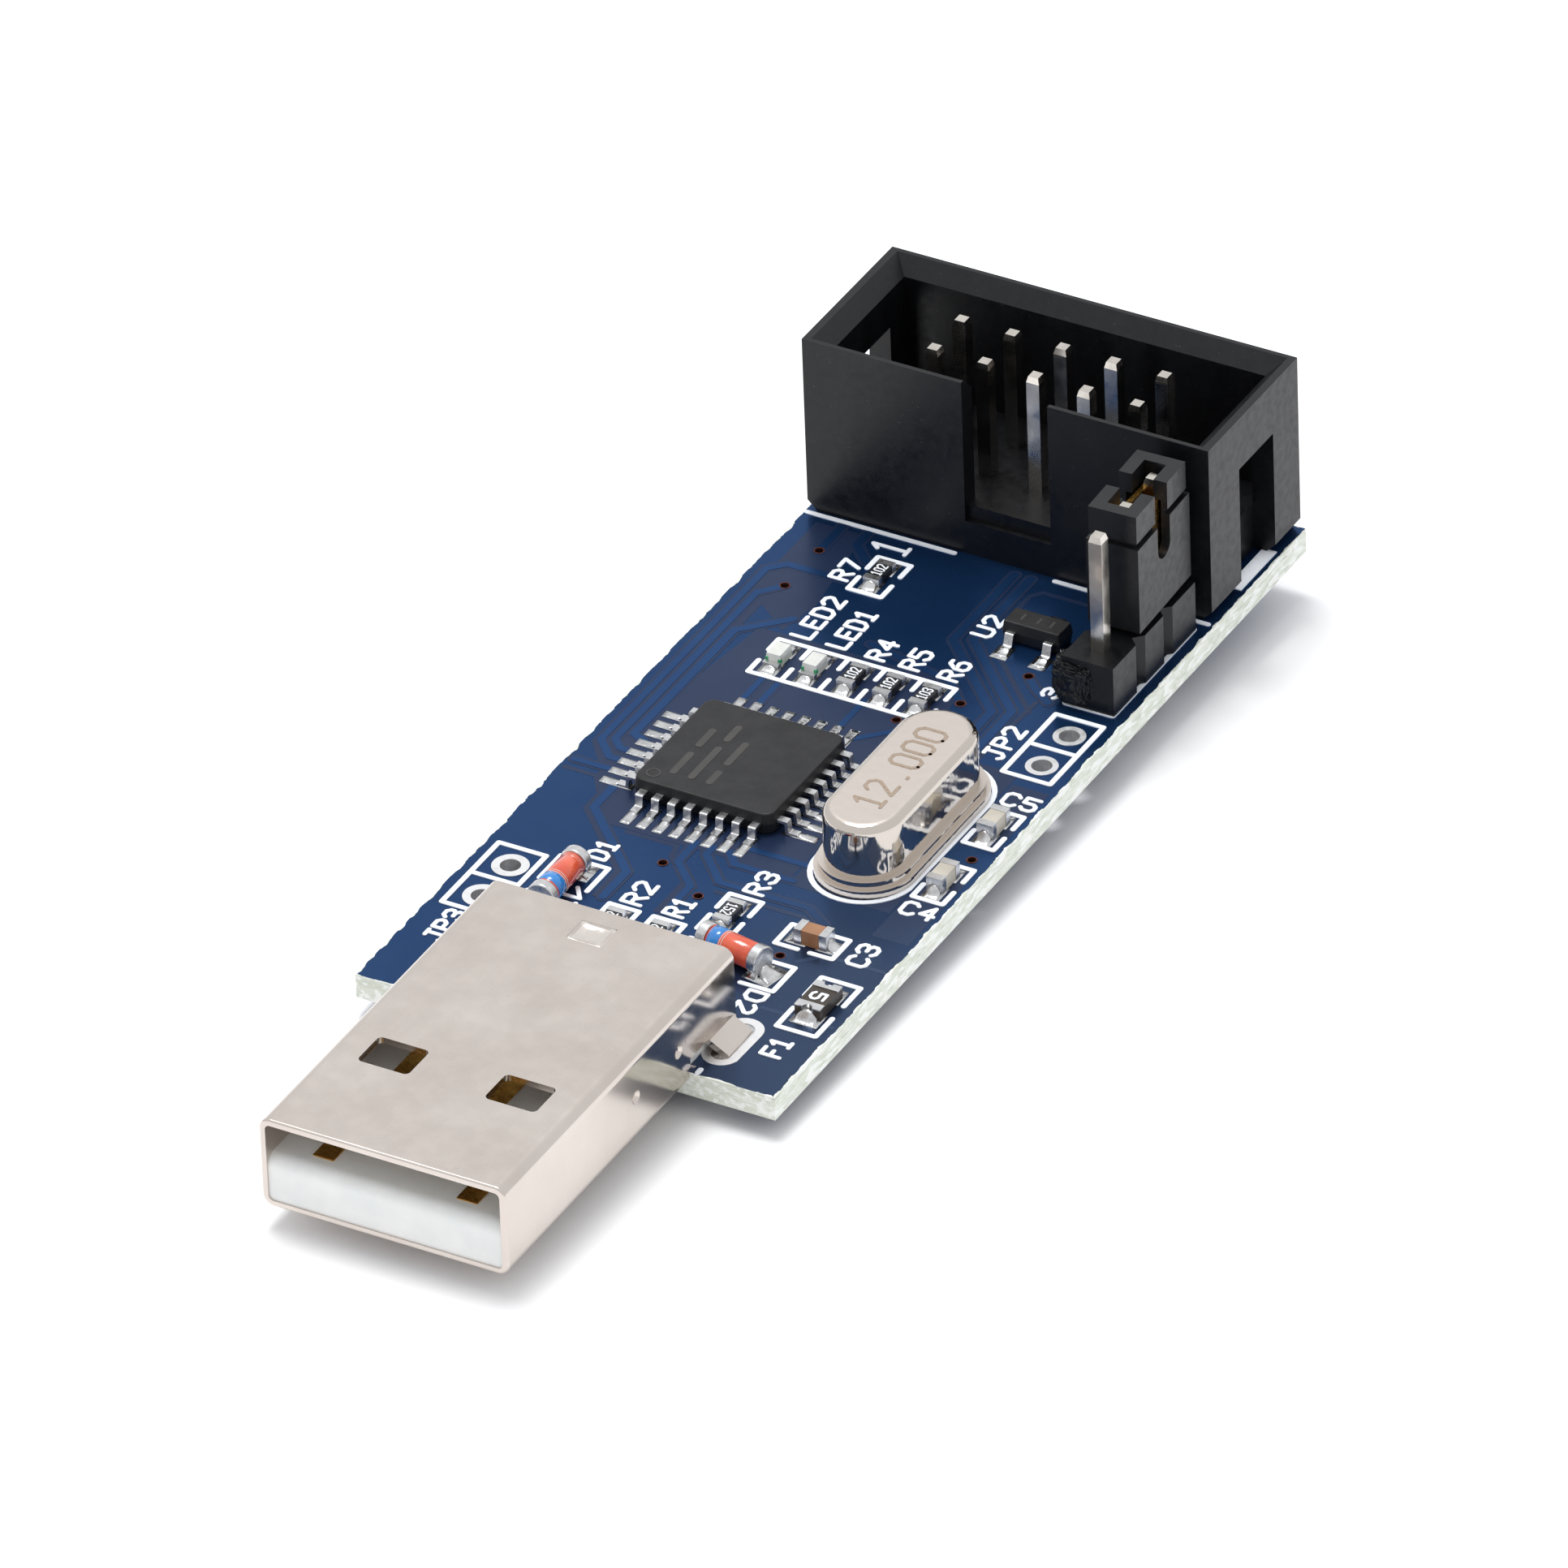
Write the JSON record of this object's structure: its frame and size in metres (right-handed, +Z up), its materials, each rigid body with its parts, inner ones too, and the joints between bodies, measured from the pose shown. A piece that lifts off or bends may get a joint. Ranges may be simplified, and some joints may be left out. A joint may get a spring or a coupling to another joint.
{
  "type": "usb microcontroller programmer",
  "caption": "Short blue circuit board with a USB plug at one end and a keyed box header at the other, for loading code into a microcontroller; one lift-off jumper.",
  "frame": {"origin": "middle of the footprint, level with the tips of the header's pins under the board", "axes": "+Y runs from the plug's mouth to the box header, +X points to the jumper's side, +Z up, out of the component side of the board"},
  "size_m": [0.0206, 0.0642, 0.012],
  "materials": {
    "solder_mask": "glossy solder mask on fibreglass",
    "nickel_shell": "satin nickel plating",
    "white_plastic": "smooth moulded",
    "gold": "gold plated",
    "solder": "bright solder",
    "tinned_pins": "tin plated",
    "tinned_leads": "tin plated",
    "black_plastic": "moulded, slightly speckled",
    "mould_compound": "fine-grained moulding compound",
    "silicon": "polished",
    "copper": "etched",
    "crystal_metal": "bright nickel",
    "seal_glass": "fused",
    "quartz": "lapped",
    "resistor_black": "glazed top on white ceramic",
    "capacitor_brown": "matt",
    "capacitor_grey": "matt",
    "diode_glass": "clear glass, orange inside, with a blue band",
    "fuse_brown": "laminated",
    "led_lens": "clear to milky resin",
    "led_base": "white laminate"
  },
  "bodies": {
    "board": {"capacitor_c3_body": "capacitor_brown", "capacitor_c3_terminals": "tinned_leads", "capacitor_c4_body": "capacitor_grey", "capacitor_c4_terminals": "tinned_leads", "capacitor_c5_body": "capacitor_grey", "capacitor_c5_terminals": "tinned_leads", "circuit_board": "solder_mask", "crystal_base": "crystal_metal", "crystal_can": "crystal_metal", "crystal_glass_seals": "seal_glass", "crystal_leads": "tinned_leads", "crystal_quartz_blank": "quartz", "crystal_solder": "solder", "diode_d1_caps": "tinned_leads", "diode_d1_glass": "diode_glass", "diode_d2_caps": "tinned_leads", "diode_d2_glass": "diode_glass", "fuse_body": "fuse_brown", "fuse_terminals": "tinned_leads", "isp_header_housing": "black_plastic", "isp_header_pins": "tinned_pins", "isp_header_solder": "solder", "jumper_header_housing": "black_plastic", "jumper_header_pins": "tinned_pins", "jumper_header_solder": "solder", "led_1_base": "led_base", "led_1_lens": "led_lens", "led_1_terminals": "tinned_leads", "led_2_base": "led_base", "led_2_lens": "led_lens", "led_2_terminals": "tinned_leads", "microcontroller_die": "silicon", "microcontroller_die_paddle": "copper", "microcontroller_leads": "tinned_leads", "microcontroller_package": "mould_compound", "regulator_leads": "tinned_leads", "regulator_package": "mould_compound", "resistor_r1_body": "resistor_black", "resistor_r1_terminals": "tinned_leads", "resistor_r2_body": "resistor_black", "resistor_r2_terminals": "tinned_leads", "resistor_r3_body": "resistor_black", "resistor_r3_terminals": "tinned_leads", "resistor_r4_body": "resistor_black", "resistor_r4_terminals": "tinned_leads", "resistor_r5_body": "resistor_black", "resistor_r5_terminals": "tinned_leads", "resistor_r6_body": "resistor_black", "resistor_r6_terminals": "tinned_leads", "resistor_r7_body": "resistor_black", "resistor_r7_terminals": "tinned_leads", "usb_contact_solder": "solder", "usb_contacts": "gold", "usb_insulator": "white_plastic", "usb_shell": "nickel_shell", "usb_tab_solder": "solder"},
    "jumper_shunt": {"jumper_shunt_housing": "black_plastic", "jumper_shunt_contact": "gold"}
  },
  "joints": [
    {"name": "jumper_shunt_lift", "type": "slide", "parent": "board", "child": "jumper_shunt", "axis": [0, 0, 1], "range_m": [0, 0.0065]}
  ]
}
